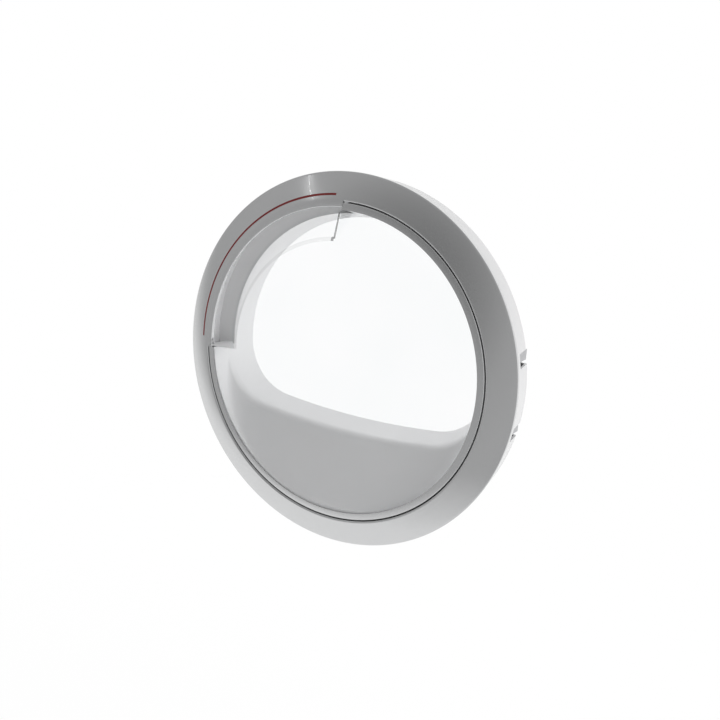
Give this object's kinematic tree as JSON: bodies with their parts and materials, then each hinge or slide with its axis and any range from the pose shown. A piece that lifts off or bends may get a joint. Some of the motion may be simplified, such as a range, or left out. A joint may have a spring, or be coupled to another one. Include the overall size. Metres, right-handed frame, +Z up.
{
  "type": "dryer door",
  "caption": "Round tumble dryer door with a silver ring, clear shield with a finger pocket, pale bowl, rear window, side hinge and sprung latch.",
  "frame": {"origin": "middle of the hinge leaf's bolt pattern, on the leaf's cabinet face", "axes": "+X to the right as the room sees the door, +Y into the cabinet, +Z up along the hinge axis"},
  "size_m": [0.48, 0.0846, 0.48],
  "materials": {
    "silver_lacquer": "silver gloss lacquer on moulded plastic",
    "red_inlay": "dark red moulded strip",
    "clear_plastic": "clear moulded polycarbonate",
    "pale_plastic": "pale grey moulded plastic, satin",
    "white_plastic": "white moulded plastic, semi-gloss",
    "seal_rubber": "dark grey moulded rubber",
    "pale_silicone": "pale milky silicone rubber",
    "zinc_steel": "zinc-plated steel",
    "dark_nylon": "dark grey moulded nylon"
  },
  "bodies": {
    "cabinet_leaf": {"hinge_leaf": "zinc_steel", "hinge_bushes": "dark_nylon"},
    "door": {"front_ring": "silver_lacquer", "accent_strip": "red_inlay", "clear_shield": "clear_plastic", "inner_bowl": "pale_plastic", "bowl_screws": "zinc_steel", "window_gasket": "pale_silicone", "window": "clear_plastic", "rear_frame": "white_plastic", "frame_screws": "zinc_steel", "door_seal": "seal_rubber", "hinge_pins": "zinc_steel", "hinge_bracket": "zinc_steel", "bracket_screws": "zinc_steel", "latch_housing": "dark_nylon", "latch_pin": "zinc_steel", "latch_spring": "zinc_steel", "latch_screws": "zinc_steel"},
    "latch": {"latch_hook": "white_plastic"}
  },
  "joints": [
    {"name": "door_swing", "type": "hinge", "parent": "cabinet_leaf", "child": "door", "pos_m": [0.008, -0.0295, 0], "axis": [0, 0, 1], "range_deg": [0, 105]},
    {"name": "latch_turn", "type": "hinge", "parent": "door", "child": "latch", "pos_m": [-0.428, -0.0195, 0], "axis": [0, 0, 1], "range_deg": [0, 14], "stiffness_Nm_per_rad": 0.15, "deforming": ["latch_spring"]}
  ]
}
